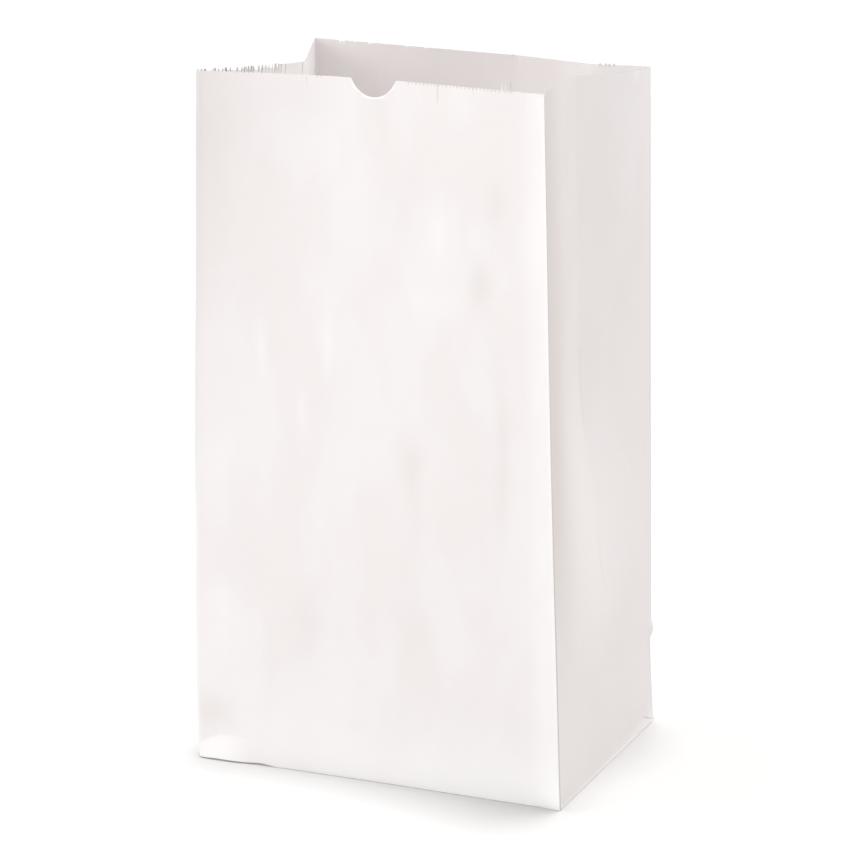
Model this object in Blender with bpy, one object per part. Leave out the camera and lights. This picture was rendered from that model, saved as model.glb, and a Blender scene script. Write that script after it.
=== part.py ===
"""A standing paper grocery bag: one folded sheet with a flat bottom, two gussets and a cut rim."""

import math
from collections import namedtuple

import bmesh
import bpy
from mathutils import Vector

MM = 0.001

# Driving dimensions of the folded sheet
WIDTH = 209.6 * MM              # front and back panels, 8 1/4 in
DEPTH = 155.6 * MM              # each gusset laid flat, 6 1/8 in
HEIGHT = 377.0 * MM             # base to the mean line of the rim
WALL = 0.8 * MM                 # sheet as modelled, thicker than real paper

# The cut rim
TOOTH_PITCH = 2.4 * MM
TOOTH_DEPTH = 1.6 * MM
BAND_DEPTH = 14.0 * MM          # strip under the rim that takes the notch and the teeth
NOTCH_RADIUS = 13.5 * MM        # thumb cut in the front panel
NOTCH_DEPTH = 9.8 * MM
NOTCH_SEGMENTS = 14

# How far each corner of the mouth stands from the corner of the base below it: x, y, z
LEAN_FRONT_LEFT = Vector((-1.5, 11.4, 0.0)) * MM
LEAN_FRONT_RIGHT = Vector((-6.6, -20.4, 1.5)) * MM
LEAN_BACK_RIGHT = Vector((-1.9, -21.6, -1.5)) * MM
LEAN_BACK_LEFT = Vector((1.0, 0.2, 1.5)) * MM

# How far each panel is pushed in at the mouth
FRONT_BOW = 13.5 * MM
BACK_BEND = 9.0 * MM
BACK_BEND_PEAK = 0.15           # share of the panel from its right edge
BACK_BEND_END = 0.38
RIGHT_GUSSET = 13.0 * MM
RIGHT_GUSSET_FULL = 225.0 * MM  # height where the right gusset has its full depth
RIGHT_FRONT_ROLL = 1.8 * MM     # the half in front of the crease hollows
RIGHT_BACK_ROLL = 7.0 * MM      # the half behind it swells out
LEFT_GUSSET = 28.0 * MM
LEFT_FRONT_ROLL = 4.0 * MM
FOLD_LINE = DEPTH / 2           # the gussets lie flat below this height

# Mesh density
WIDE_COLUMNS = 12
GUSSET_COLUMNS = 10             # even, so that one column lies on the centre crease
ROW_STEP = 33.0 * MM
TINY = 1e-9                     # keeps a tooth on a column line in its own cell

PAPER_COLOUR = (0.86, 0.82, 0.80, 1.0)
PAPER_ROUGHNESS = 0.85


def clear_scene():
    for obj in list(bpy.data.objects):
        bpy.data.objects.remove(obj, do_unlink=True)


def smooth(value):
    """Ease from 0 to 1 with flat ends."""
    value = min(max(value, 0.0), 1.0)
    return value * value * (3.0 - 2.0 * value)


def corner(place, z):
    """A vertical edge of the bag at a height: it runs straight from the base to the mouth."""
    rise = z / HEIGHT
    x = place.side_x * WIDTH / 2 + place.lean.x * rise
    y = place.side_y * DEPTH / 2 + place.lean.y * rise
    return Vector((x, y, 0.0))


def front_push(t, z):
    return FRONT_BOW * math.sin(math.pi * t) * (z / HEIGHT) ** 1.5


def back_push(t, z):
    """The back panel runs from right to left, and is bent in near its start."""
    if t < BACK_BEND_PEAK:
        share = smooth(t / BACK_BEND_PEAK)
    else:
        share = max(0.0, (BACK_BEND_END - t) / (BACK_BEND_END - BACK_BEND_PEAK))
    return BACK_BEND * share * (z / HEIGHT) ** 2


def crease(t):
    """The V of a gusset across its panel: 1 on the centre crease, 0 on both edges."""
    return 1.0 - abs(2.0 * t - 1.0)


def right_push(t, z):
    opened = smooth((z - FOLD_LINE) / (RIGHT_GUSSET_FULL - FOLD_LINE))
    roll = RIGHT_FRONT_ROLL if t < 0.5 else RIGHT_BACK_ROLL
    return RIGHT_GUSSET * opened * crease(t) + roll * math.sin(math.tau * t) * (z / HEIGHT) ** 4


def left_push(t, z):
    """The left gusset runs from the back edge to the front edge."""
    opened = smooth((z - FOLD_LINE) / (HEIGHT - FOLD_LINE))
    roll = LEFT_FRONT_ROLL if t > 0.5 else 0.0
    return LEFT_GUSSET * opened * crease(t) - roll * math.sin(math.tau * t) * (z / HEIGHT) ** 4


# A corner is its side in x and y and its lean. The panels run between the corners,
# counter-clockwise seen from above, so that their faces point out.
Corner = namedtuple("Corner", "side_x side_y lean")
Panel = namedtuple("Panel", "start end push length columns")
FRONT_LEFT = Corner(-1, -1, LEAN_FRONT_LEFT)
FRONT_RIGHT = Corner(1, -1, LEAN_FRONT_RIGHT)
BACK_RIGHT = Corner(1, 1, LEAN_BACK_RIGHT)
BACK_LEFT = Corner(-1, 1, LEAN_BACK_LEFT)
FRONT = Panel(FRONT_LEFT, FRONT_RIGHT, front_push, WIDTH, WIDE_COLUMNS)
RIGHT = Panel(FRONT_RIGHT, BACK_RIGHT, right_push, DEPTH, GUSSET_COLUMNS)
BACK = Panel(BACK_RIGHT, BACK_LEFT, back_push, WIDTH, WIDE_COLUMNS)
LEFT = Panel(BACK_LEFT, FRONT_LEFT, left_push, DEPTH, GUSSET_COLUMNS)
PANELS = (FRONT, RIGHT, BACK, LEFT)


def panel_point(panel, t, z):
    """A point of a panel: t runs along it from 0 to 1, and z is the height."""
    start = corner(panel.start, z)
    along = corner(panel.end, z) - start
    inward = Vector((-along.y, along.x, 0.0)).normalized()
    point = start + along * t + inward * panel.push(t, z)
    point.z = z
    return point


def rim_lift(panel, t):
    """The rim's own rise and fall between the corners of the mouth."""
    start = panel.start.lean.z
    return start + (panel.end.lean.z - start) * t


def tooth_line(panel):
    """The cut edge of a panel, as pairs of t and drop: a zigzag of whole teeth."""
    teeth = round(panel.length / TOOTH_PITCH)
    line = []
    for index in range(2 * teeth + 1):
        drop = TOOTH_DEPTH if index % 2 == 0 else 0.0
        line.append((index / (2 * teeth), drop))
    return line


def notch_line(panel):
    """The cut edge of the front panel: teeth, the round thumb cut in the middle, and teeth."""
    rise = NOTCH_RADIUS - NOTCH_DEPTH
    half_angle = math.acos((rise + TOOTH_DEPTH / 2) / NOTCH_RADIUS)
    half_width = NOTCH_RADIUS * math.sin(half_angle) / panel.length
    line = [(t, drop) for t, drop in tooth_line(panel) if t < 0.5 - half_width]
    for index in range(NOTCH_SEGMENTS + 1):
        angle = half_angle * (2.0 * index / NOTCH_SEGMENTS - 1.0)
        across = NOTCH_RADIUS * math.sin(angle) / panel.length
        line.append((0.5 + across, NOTCH_RADIUS * math.cos(angle) - rise))
    line += [(t, drop) for t, drop in tooth_line(panel) if t > 0.5 + half_width]
    return line


def wall_rows():
    """Heights of the grid under the toothed band, with one row on the fold line."""
    heights = [0.0, FOLD_LINE / 2, FOLD_LINE]
    top = HEIGHT - BAND_DEPTH
    steps = round((top - FOLD_LINE) / ROW_STEP)
    for index in range(1, steps + 1):
        heights.append(FOLD_LINE + (top - FOLD_LINE) * index / steps)
    return heights


def outer_ring(z):
    """The outer face of the bag at a height: one closed polygon, a point for each column."""
    ring = []
    for panel in PANELS:
        for column in range(panel.columns):
            ring.append(panel_point(panel, column / panel.columns, z))
    return ring


def inner_ring(z):
    """The outer polygon moved in by the wall, with mitred corners."""
    ring = outer_ring(z)
    moved = []
    for index, point in enumerate(ring):
        before = (point - ring[index - 1]).normalized()
        after = (ring[(index + 1) % len(ring)] - point).normalized()
        inward = Vector((-before.y - after.y, before.x + after.x, 0.0))
        moved.append(point + inward * WALL / (1.0 + before.dot(after)))
    return moved


def rim_cells():
    """The cut edge, as one list for each column of the grid: share of the column and height."""
    cells = []
    for panel in PANELS:
        line = notch_line(panel) if panel is FRONT else tooth_line(panel)
        panel_cells = [[] for column in range(panel.columns)]
        for t, drop in line[:-1]:
            place = min(int(t * panel.columns + TINY), panel.columns - 1)
            z = HEIGHT + rim_lift(panel, t) - drop
            panel_cells[place].append((t * panel.columns - place, z))
        cells += panel_cells
    return cells


def add_rim(bm, make_ring):
    """The points of the cut edge on one face of the wall, on the flats between the columns."""
    rim = []
    for column, cell in enumerate(rim_cells()):
        verts = []
        for share, z in cell:
            ring = make_ring(z)
            point = ring[column].lerp(ring[(column + 1) % len(ring)], share)
            verts.append(bm.verts.new(point))
        rim.append(verts)
    return rim


def add_face(bm, verts, outward):
    bm.faces.new(verts if outward else verts[::-1])


def add_skin(bm, make_ring, floor, outward):
    """One face of the sheet: its bottom, the grid of its walls and the toothed band."""
    rings = []
    for index, z in enumerate(wall_rows()):
        points = make_ring(z)
        if index == 0:
            for point in points:
                point.z = floor
        rings.append([bm.verts.new(point) for point in points])
    add_face(bm, rings[0][::-1], outward)
    count = len(rings[0])
    for lower, upper in zip(rings, rings[1:]):
        for column in range(count):
            after = (column + 1) % count
            add_face(bm, [lower[column], lower[after], upper[after], upper[column]], outward)
    rim = add_rim(bm, make_ring)
    for column in range(count):
        after = (column + 1) % count
        edge = rim[column] + rim[after][:1]
        add_face(bm, [rings[-1][column], rings[-1][after]] + edge[::-1], outward)
    return [vert for cell in rim for vert in cell]


def build_sheet(bm):
    """The whole folded sheet: its outer face, its inner face and the cut edge between them."""
    outer = add_skin(bm, outer_ring, 0.0, True)
    inner = add_skin(bm, inner_ring, WALL, False)
    for index, vert in enumerate(outer):
        after = (index + 1) % len(outer)
        bm.faces.new((vert, outer[after], inner[after], inner[index]))
    bm.normal_update()
    bmesh.ops.triangulate(bm, faces=bm.faces[:], ngon_method="EAR_CLIP")


def paper_material():
    material = bpy.data.materials.new("white_kraft_paper")
    material.use_nodes = True
    shader = material.node_tree.nodes["Principled BSDF"]
    shader.inputs["Base Color"].default_value = PAPER_COLOUR
    shader.inputs["Roughness"].default_value = PAPER_ROUGHNESS
    shader.inputs["Metallic"].default_value = 0.0
    return material


def build_bag():
    mesh = bpy.data.meshes.new("paper_bag")
    bm = bmesh.new()
    build_sheet(bm)
    bm.to_mesh(mesh)
    bm.free()
    mesh.materials.append(paper_material())
    bag = bpy.data.objects.new("paper_bag", mesh)
    bpy.context.collection.objects.link(bag)
    return bag


def main():
    clear_scene()
    build_bag()


main()
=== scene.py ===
"""The finish of a standing paper grocery bag, modelled around its packed construction.

The sheet is made as a straight open box of square cells, its rim is cut into teeth, and the box is
then settled into the bag's leaning, bowed and creased form. The glued bottom flaps and the lap of
the long seam are pieces of their own.
"""

import math
from collections import namedtuple

import bpy
import numpy as np
from mathutils import Matrix, Vector, noise


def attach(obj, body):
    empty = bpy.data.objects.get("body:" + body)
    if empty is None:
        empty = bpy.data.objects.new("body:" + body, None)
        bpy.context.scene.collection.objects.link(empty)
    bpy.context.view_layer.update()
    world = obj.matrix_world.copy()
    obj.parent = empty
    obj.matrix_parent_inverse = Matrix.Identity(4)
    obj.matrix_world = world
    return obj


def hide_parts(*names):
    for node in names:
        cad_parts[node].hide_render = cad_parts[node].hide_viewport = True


bl_info = {
    "name": "Paper Grocery Bag",
    "version": (1, 0, 0),
    "blender": (4, 5, 0),
    "location": "View3D > Sidebar > Paper Bag",
    "description": "Builds a standing paper grocery bag with a cut rim, folded gussets and glued flaps",
    "category": "Add Mesh",
}

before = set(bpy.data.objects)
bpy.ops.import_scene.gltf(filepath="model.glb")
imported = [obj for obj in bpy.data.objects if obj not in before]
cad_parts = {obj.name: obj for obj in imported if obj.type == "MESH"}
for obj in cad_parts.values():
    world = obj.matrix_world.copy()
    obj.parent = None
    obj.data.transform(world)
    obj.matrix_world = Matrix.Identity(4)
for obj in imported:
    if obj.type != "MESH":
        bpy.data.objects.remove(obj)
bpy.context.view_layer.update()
CAD_NODE = "paper_bag"
BODY = "root"

MM = 0.001
SAME = 0.01 * MM                # points closer than this lie on one line


def table(fields, in_mm, rows):
    """Records from rows of values. The fields that in_mm lists are given in millimetres."""
    kind = namedtuple("Record", fields)
    records = []
    for row in rows:
        named = zip(kind._fields, row)
        records.append(kind(*[value * MM if name in in_mm.split() else value for name, value in named]))
    return records


# The form of the bag

# A corner is its side in x and y, and how far its top stands from its foot
Corner = namedtuple("Corner", "side_x side_y lean_x lean_y lift")
FRONT_LEFT = Corner(-1, -1, -2.3 * MM, 11.4 * MM, -0.6 * MM)
FRONT_RIGHT = Corner(1, -1, -6.6 * MM, -20.4 * MM, 0.9 * MM)
BACK_RIGHT = Corner(1, 1, -1.9 * MM, -21.6 * MM, -1.9 * MM)
BACK_LEFT = Corner(-1, 1, 1.0 * MM, 0.2 * MM, 2.1 * MM)

# How far the upright folds leave their straight lines: pairs of the height and the way in x,
# both in millimetres
SWAYS = {
    FRONT_LEFT: (
        (0, -0.4), (9, -1.65), (31, -2.15), (53, -2.6), (119, -2.5), (141, -2.45), (163, -2.2),
        (196, -2.1), (229, -1.7), (251, -1.2), (294, -0.8), (338, -0.5), (360, -0.1), (377, 0.0),
    ),
    FRONT_RIGHT: (
        (0, 0.0), (70, -0.25), (130, -0.55), (190, -0.7), (250, -0.55), (310, -0.25), (377, 0.0),
    ),
    BACK_RIGHT: ((0, 1.9), (3, 1.2), (6, 0.7), (30, 0.2), (55, -0.2), (64, 0.0)),
    BACK_LEFT: ((0, 0.0), (377, 0.0)),
}
# A small ear that sticks out of the back right fold: the same pairs, and how far it reaches
EAR = ((8, 0.0), (30, -0.3), (50, -0.6), (53.8, 1.1), (57.7, 1.3), (61.5, 0.1), (64, 0.0))
EAR_REACH = 5 * MM

# The front panel
FRONT_BOW = 13.5 * MM           # pushed in at the mouth
FRONT_BOW_POWER = 1.5           # how the bow grows with the height
FRONT_BOW_SKEW = 0.844          # moves the deepest line a little to the left
FRONT_BASE_BOW = 2.0 * MM       # pushed in along the bottom edge
BUCKLE_LOW = 54 * MM            # the soft line where the lower part kinks: its left end
BUCKLE_HIGH = 126 * MM          # and its height from the middle on
EDGE_STRIP = 12 * MM            # flat strip beside the right fold
EDGE_STRIP_PUSH = 1.0 * MM
EDGE_STRIP_FADE = 30 * MM
EDGE_STRIP_END = 0.25           # share of the panel where it has faded towards the left fold
NOTCH_AT = 102.1 * MM           # place of the thumb cut, from the left fold
NOTCH_SIDES = 128
NOTCH_CUTTER = 40 * MM          # length of the cylinder that cuts it
NOTCH_REACH = 10 * MM           # how far from the middle of that length its bright line may lie

# The back panel
BACK_BEND = 9.0 * MM
BACK_BEND_POWER = 2
BACK_BEND_PEAK = 0.15           # share of the panel from its right edge
BACK_BEND_END = 0.374
BEND_SLANT = 0.35               # the bend's left side runs down to the left
FOLD_UP_CREASE = 0.7 * MM       # the crease where the flat bag folds its bottom up
FOLD_UP_WIDTH = 9.0 * MM
FOLD_UP_ENDS = 0.125            # share of the panel over which it fades at each end

# The gussets
RIGHT_GUSSET = 13.0 * MM
RIGHT_GUSSET_FULL = 225.0 * MM  # height where it has its full depth
RIGHT_FRONT_ROLL = 1.8 * MM     # the half in front of the centre fold hollows
RIGHT_BACK_ROLL = 7.0 * MM      # the half behind it swells
RIGHT_RISE = 1.3 * MM           # its rim stands a little higher between the corners
RIGHT_RISE_SKEW = 0.8
LEFT_GUSSET = 31.0 * MM
LEFT_FRONT_ROLL = 4.0 * MM
LEFT_SLIDE = 0.04               # its centre fold stands a little to the front
LEFT_DIP = 2.2 * MM             # its rim dips, because the paper there slants inwards
MOUTH_POWER = 4                 # the rolls and the rise show only near the mouth
CORNER_CREASE = 0.08 * MM       # the slanting creases at the foot of a gusset
CORNER_CREASE_WIDTH = 5.0 * MM
CORNER_CREASE_START = 8 * MM

# The bottom
BOTTOM_ROOM = 0.55 * MM         # the bottom is raised inside its folds, where the flaps lie
BOTTOM_EDGE = 4.0 * MM          # width of the strip that rises to that room
FLAP_START = 0.9 * MM           # distance of a flap's base from the fold
FLAP_SHEET = 0.12 * MM          # thickness of a flap and of the seam lap
TUCK_LEVEL = 0.40 * MM          # undersides of the layers, from the inside to the outside
FRONT_FLAP_LEVEL = 0.20 * MM
BACK_FLAP_LEVEL = 0.01 * MM
TUCK_COLUMNS = 32

# The short crease above the back right foot: it falls to the corner and rises away from it
FOOT_LINE = (3.2 * MM, 3.6 * MM, 4.0 * MM)  # rows of points, with the crease along the middle one
FOOT_LINE_LENGTH = 17 * MM
FOOT_LINE_FALL = 3.2 * MM
FOOT_LINE_RISE = 3.5 * MM
FOOT_LINE_END = 30.6 * MM       # from here on the rows are level again
FOOT_LINE_TURN = 8 * MM         # the same, round the corner on the back panel
FOOT_LINE_FADE = 15 * MM

# The pressed corner at the foot of the front panel's left edge, below a short curved crease
PRESSED_HEIGHT = 14.4 * MM
PRESSED_STEP = 0.6 * MM         # distance of the next row of points above the crease
PRESSED_START = 4 * MM
PRESSED_AT = 17 * MM            # place of the crease's highest point
PRESSED_WIDTH = 20.8 * MM
PRESSED_SLOPE = 0.12
PRESSED_FADE = 30 * MM          # above the crease the rows straighten over this height
PRESSED_SIDE = 1.4              # how much sooner the crease falls on the left gusset
# The bottom edge of that foot is lifted up to a small step: pairs of the place and the lift in
# millimetres
FOOT_STEP = ((0, 0.3), (8, 0.9), (18, 0.8), (28, 0.6), (37, 1.0), (44, 0.0))
FOOT_STEP_FADE = 20 * MM

# Soft dents: the place across the panel and above the floor, the width of the steep flank and of
# the flat flank, half the height, and the depth, where a ridge is less than zero
DENTS = table(
    "panel across up steep flat half_height depth",
    "across up steep flat half_height depth",
    (
        ("front", 181, 319, 5, 14, 11, 0.35),
        ("front", 172, 277, 5, 16, 12, 0.50),
        ("front", 185, 190, 4, 12, 38, 0.35),
        ("front", 130, 176, 4, 12, 9, 0.35),
        ("front", 72, 76, 7, 22, 20, 0.50),
        ("front", 133, 90, 6, 18, 18, 0.40),
        ("front", 39, 232, 3, 3, 16, -0.20),
        ("front", 78, 233, 3, 3, 18, -0.20),
        ("front", 63, 198, 4, 4, 13, -0.25),
        ("front", 144, 300, 5, 5, 16, -0.30),
        ("front", 106, 358, 2.4, 5, 9, 0.30),
        ("front", 116, 352, 2.4, 5, 8, 0.25),
        ("right", 118, 250, 14, 20, 40, 0.60),
        ("right", 60, 60, 14, 20, 30, -0.50),
        ("back", 70, 210, 12, 30, 40, 0.80),
        ("back", 150, 140, 16, 26, 34, 0.70),
        ("left", 40, 150, 14, 24, 40, 0.60),
    ),
)

# The slow unevenness of the whole sheet
COCKLE = 0.28 * MM
COCKLE_WIDTH = 34 * MM
COCKLE_HEIGHT = 85 * MM
RIPPLE = 0.05 * MM
RIPPLE_WIDTH = 9 * MM
RIPPLE_HEIGHT = 26 * MM
STILL_FOOT = 30 * MM            # it fades towards the floor over this height
STILL_SHARE = 0.2               # and a little of it is left there
PANEL_SEED = {"front": 3.1, "right": 17.7, "back": 29.3, "left": 41.9}

# The lap of the long seam: one side is sunk in the sheet and the other stands a little proud
SEAM_SUNK = 0.14 * MM
SEAM_PROUD = 0.06 * MM
SEAM_ENDS = (1.0 * MM, 1.4 * MM)
SEAM_COLUMNS = 8

# The cut rim

TOOTH_CUTS = 3                  # cuts in each cell of the toothed strip
PARTS = TOOTH_CUTS + 1          # parts of a tooth
STRIP_ROWS = 4                  # rows of cells in that strip
FIRST_ROW = 1.6 * MM            # depth of the first row of points under the rim
FIRST_ROW_ROOM = 0.5 * MM       # and its least distance from the teeth above it
FLAT_TEETH = 0.22               # share of the full depth where the cut is clean
TIP_DROP = 0.25 * MM            # how far a full tooth's tip stays under the mean line
RAGGED = ("left",)              # panels where no two teeth are alike
RAGGED_TIP = -0.5 * MM          # their tips stand a little above the rim
RAGGED_FROM = 1.3 * FLAT_TEETH  # depth from which they do

# Stretches from one share of a panel to another: the depth of the teeth at both ends, as a share
# of the full depth, and how dark the painted shade in their valleys is
TEETH = table(
    "panel start end first last mark",
    "",
    (
        ("front", 0.00, 0.31, 0.4, 0.5, 0.0),
        ("front", 0.585, 0.905, 0.42, 0.55, 1.0),
        ("back", 0.650, 0.661, 0.9, 0.9, 0.0),
        ("back", 0.708, 0.719, 0.9, 0.9, 0.2),
        ("back", 0.820, 0.832, 1.3, 1.3, 0.0),
        ("back", 0.868, 0.879, 0.9, 0.9, 0.4),
        ("back", 0.908, 0.922, 1.3, 1.3, 0.0),
        ("left", 0.645, 1.00, 1.3, 0.5, 1.0),
    ),
)
# Short creases that the knife leaves under the rim: their stretch, and their length at both ends
CRIMPS = table("panel start end first last", "first last", (("left", 0.630, 0.650, 6.5, 5.5),))
CRIMP_PUSH = 0.15 * MM
# Single slits: the share across the panel, the length and how dark their painted shade is
SLITS = table(
    "panel at length mark",
    "length",
    (
        ("front", 0.2945, 3.6, 0.75),
        ("front", 0.323, 2.2, 0.9),
        ("front", 0.336, 2.2, 0.8),
        ("front", 0.680, 8.6, 0.5),
        ("front", 0.786, 4.4, 0.35),
        ("left", 0.510, 7.0, 0.9),
        ("left", 0.609, 6.6, 0.8),
        ("left", 0.633, 6.6, 0.8),
    ),
)
# Torn slivers that stand above the rim: the share across the panel, the height, and how dark
# the painted shade beside them is
SLIVERS = table(
    "panel at rise mark",
    "rise",
    (
        ("front", 0.872, 3.4, 0.2),
        ("front", 0.884, 3.4, 0.6),
        ("front", 0.897, 4.8, 0.7),
        ("back", 0.0906, 0.9, 1.0),
        ("back", 0.1026, 0.8, 1.0),
        ("back", 0.1120, 0.9, 1.0),
        ("back", 0.1253, 0.8, 1.0),
        ("back", 0.3945, 0.5, 1.0),
    ),
)

# The noise that makes the teeth uneven: how fast it runs along the row of teeth, and its seed
TOOTH_NOISE = {
    "depth": (3.1, 2.9),
    "broad": (2.3, 8.7),
    "lean": (1.0, 5.1),
    "length": (1.0, 3.3),
    "shade": (1.9, 6.1),
}
NOISE_STEP = 0.73               # step of that noise from one number to the next
NOISE_LEVEL = 0.4
CUT_SEED = 7.3                  # times the number of the panel, for the noise of single cuts
BROAD_FROM = 0.06               # a ragged tooth is broad above this noise, and a thin spike below it
VALLEY_SHIFT = 2.4              # how far the noise moves a ragged valley, in cuts
CRIMP_LEAN = 2.2                # and how far it leans a crimp

# The painted shade and painted highlights on the sheet, from 0 to 1

NEAR_FOLD_MARK = 0.95           # beside the front right fold
FAR_FOLD_MARK = 0.35            # beside the back right fold
LEFT_FOLD_MARK = 0.25           # beside the front left fold, from this height up
LEFT_FOLD_LOW = 120 * MM
LEFT_FOLD_FADE = 60 * MM
BESIDE_FOLD = 0.7 * MM
GUSSET_MARK = 0.10              # on the centre folds of the gussets, where they show
GUSSET_LINES = ((192 * MM, 234 * MM), (106 * MM, 132 * MM))
ON_CREASE = 0.003
HIGHLIGHT_WIDTH = 1.2 * MM           # width of the painted highlight along a fold
BEND_HIGHLIGHT = 0.8                 # on the bend of the back panel, just under the rim
BEND_HIGHLIGHT_WIDTH = 0.4 * MM
BEND_HIGHLIGHT_HEIGHT = 7 * MM
PRESSED_HIGHLIGHT = 0.4              # on the pressed corner
PRESSED_HIGHLIGHT_START = 8 * MM
PRESSED_HIGHLIGHT_FADE = 30 * MM

# Painted shade on the narrow faces of the cut rim: how grey they are on the front, where 1 is the other
# sides
FRONT_CUT = 0.25
CUT_BAND = 5 * MM               # height of the band that has them
CUT_LEVEL = 0.3                 # least upward part of their normal
CUT_FRONT_REACH = 16 * MM       # the front's part ends this far behind its left corner
CUT_RIGHT = (26 * MM, 17 * MM)  # and this far from the right side and in front of the base
ON_NOTCH = 0.05 * MM

# Soft patches of painted shade and painted highlight: the place across the panel and above the floor,
# half the width, half the height, and the tone, which is above zero where shade is painted and
# below zero where a highlight is painted
PAINTED_LIGHT_PATCHES = table(
    "panel across up half_width half_height tone",
    "across up half_width half_height",
    (
        ("front", 0, 358, 38, 56, 0.40),
        ("front", 10, 293, 14, 44, 0.07),
        ("front", 60, 366, 16, 11, 0.16),
        ("front", 0, 300, 3.5, 120, 0.25),
        ("front", 178, 319, 7, 10, 0.26),
        ("front", 169, 277, 6.5, 12, 0.38),
        ("front", 182, 198, 4.5, 30, 0.26),
        ("front", 180, 165, 4, 18, 0.20),
        ("front", 128, 176, 5, 13, 0.30),
        ("front", 131, 152, 5, 20, 0.14),
        ("front", 67, 76, 10, 20, 0.12),
        ("front", 129, 84, 10, 22, 0.09),
        ("front", 92, 32, 16, 6, 0.12),
        ("front", 8, 27, 15, 13, 0.75),
        ("front", 119, 321, 17, 24, 0.14),
        ("front", 108, 353, 3, 12, 0.16),
        ("front", 105, 0, 400, 42, -0.75),
        ("front", 185, 0, 90, 20, -1.10),
        ("front", 209, 190, 13, 600, -0.55),
        ("front", 88, 339, 17, 22, -0.12),
        ("front", 144, 300, 5, 14, -0.40),
        ("front", 131, 266, 20, 6, -0.20),
        ("front", 39, 232, 2.6, 16, -0.45),
        ("front", 78, 233, 2.8, 18, -0.45),
        ("front", 63, 198, 3, 12, -0.45),
        ("front", 16, 166, 13, 20, -0.32),
        ("front", 16, 86, 15, 24, -0.32),
        ("right", 78, 190, 600, 900, 0.26),
        ("right", 0, 330, 40, 170, 0.72),
        ("right", 0, 170, 30, 80, 0.55),
        ("right", 140, 352, 26, 50, -0.15),
        ("right", 128, 375, 3, 2.5, -1.0),
        ("back", 12, 377, 26, 22, -0.90),
        ("back", 100, 200, 70, 90, 0.15),
        ("back", 118, 377, 48, 60, 0.40),
        ("left", 60, 120, 60, 90, 0.20),
        ("left", 78, 377, 90, 22, -0.60),
        ("left", 124, 377, 24, 12, -0.60),
    ),
)

# Settings that a user would change


def number_setting(name, description, default, low=0.0, **more):
    return bpy.props.FloatProperty(name=name, description=description, default=default, min=low, **more)


def length_setting(name, description, default):
    return number_setting(name, description, default, unit="LENGTH", precision=5)


def colour_setting(name, description, default):
    return bpy.props.FloatVectorProperty(
        name=name, description=description, default=default, min=0.0, max=1.0, size=3, subtype="COLOR"
    )


class PaperBagSize(bpy.types.PropertyGroup):
    """Sizes of the folded sheet."""

    width: length_setting("Width", "Width of the front and the back panel", 209.6 * MM)
    depth: length_setting("Depth", "Width of a gusset laid flat", 155.6 * MM)
    height: length_setting("Height", "Height from the floor to the rim", 377.0 * MM)
    sheet: length_setting("Sheet", "Thickness of the paper", 0.22 * MM)
    fold_radius: length_setting("Fold Radius", "Rounding of the folds", 0.4 * MM)
    cell: length_setting("Cell", "Width of one cell and of one tooth", 2.4 * MM)
    row: length_setting("Row", "Height of one row of cells", 3.8 * MM)
    tooth: length_setting("Tooth", "Depth of the teeth of the rim", 1.6 * MM)
    notch_radius: length_setting("Notch Radius", "Radius of the thumb cut", 14.6 * MM)
    notch_depth: length_setting("Notch Depth", "Depth of the thumb cut", 9.4 * MM)
    flap_lap: length_setting("Flap Lap", "How far the bottom flaps overlap", 22.0 * MM)
    seam_lap: length_setting("Seam Lap", "Width of the lap of the long seam", 15.0 * MM)
    seam_place: length_setting("Seam Place", "Distance of the seam from the back's left edge", 34.0 * MM)


class PaperBagFinish(bpy.types.PropertyGroup):
    """The look of the paper."""

    paper: colour_setting("Paper", "Main colour of the bleached kraft paper", (0.842, 0.811, 0.806))
    warm: colour_setting("Warm Patches", "Colour of its faint warm patches", (0.823, 0.786, 0.779))
    # Painted shade, laid on the soft patches: on dents, at the front's top left, over the right panel
    # and inside the bag
    shade_colour: colour_setting("Shaded", "Colour where hands have dulled it", (0.692, 0.643, 0.623))
    # Painted shade in creases, beside the folds and in the valleys of the rim
    crease: colour_setting("Crease", "Colour in its sharpest creases", (0.470, 0.435, 0.428))
    # Painted highlight: along the folds, on the back's bend, on the pressed corner and in the lighter
    # patches
    highlight_colour: colour_setting("Highlights", "Colour where it is rubbed whitest", (0.965, 0.957, 0.953))
    # Painted shade on the narrow faces of the cut rim
    cut: colour_setting("Cut Edge", "Colour of the cut edge of the rim", (0.400, 0.380, 0.372))
    roughness: number_setting("Roughness", "Mean roughness of the paper", 0.86, max=1.0)
    fibre: number_setting("Fibre", "Strength of the fibre relief", 0.12, max=1.0)


class PaperBagStage(bpy.types.PropertyGroup):
    """Floor, light and camera."""

    sky: number_setting("Sky", "Strength of the white surroundings", 0.89)
    overhead: number_setting("Overhead", "Strength of the light from above", 3.0)
    overhead_angle: number_setting(
        "Overhead Angle", "Apparent width of that light", math.radians(12), subtype="ANGLE"
    )
    side: number_setting("Side", "Strength of the light from the left", 0.85)
    inner: number_setting("Inner", "Power of the small lamp inside the bag, in watts", 0.10)
    floor_radius: length_setting("Floor Radius", "Radius of the round floor", 9.0)
    lens: number_setting("Lens", "Focal length of the camera in millimetres", 123.29, low=1.0)


# Small helpers


def smooth(value):
    """Ease from 0 to 1 with flat ends."""
    value = np.clip(value, 0.0, 1.0)
    return value * value * (3.0 - 2.0 * value)


def crease(t):
    """The V of a gusset across its panel: 1 on the centre fold, 0 on both edges."""
    return 1 - np.abs(2 * t - 1)


def even(count):
    return 2 * round(count / 2)


def deselect_all():
    if bpy.context.object and bpy.context.object.mode != "OBJECT":
        bpy.ops.object.mode_set(mode="OBJECT")
    bpy.ops.object.select_all(action="DESELECT")


def only(piece):
    """Makes a piece the only selected object and the active one."""
    deselect_all()
    piece.select_set(True)
    bpy.context.view_layer.objects.active = piece


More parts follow.
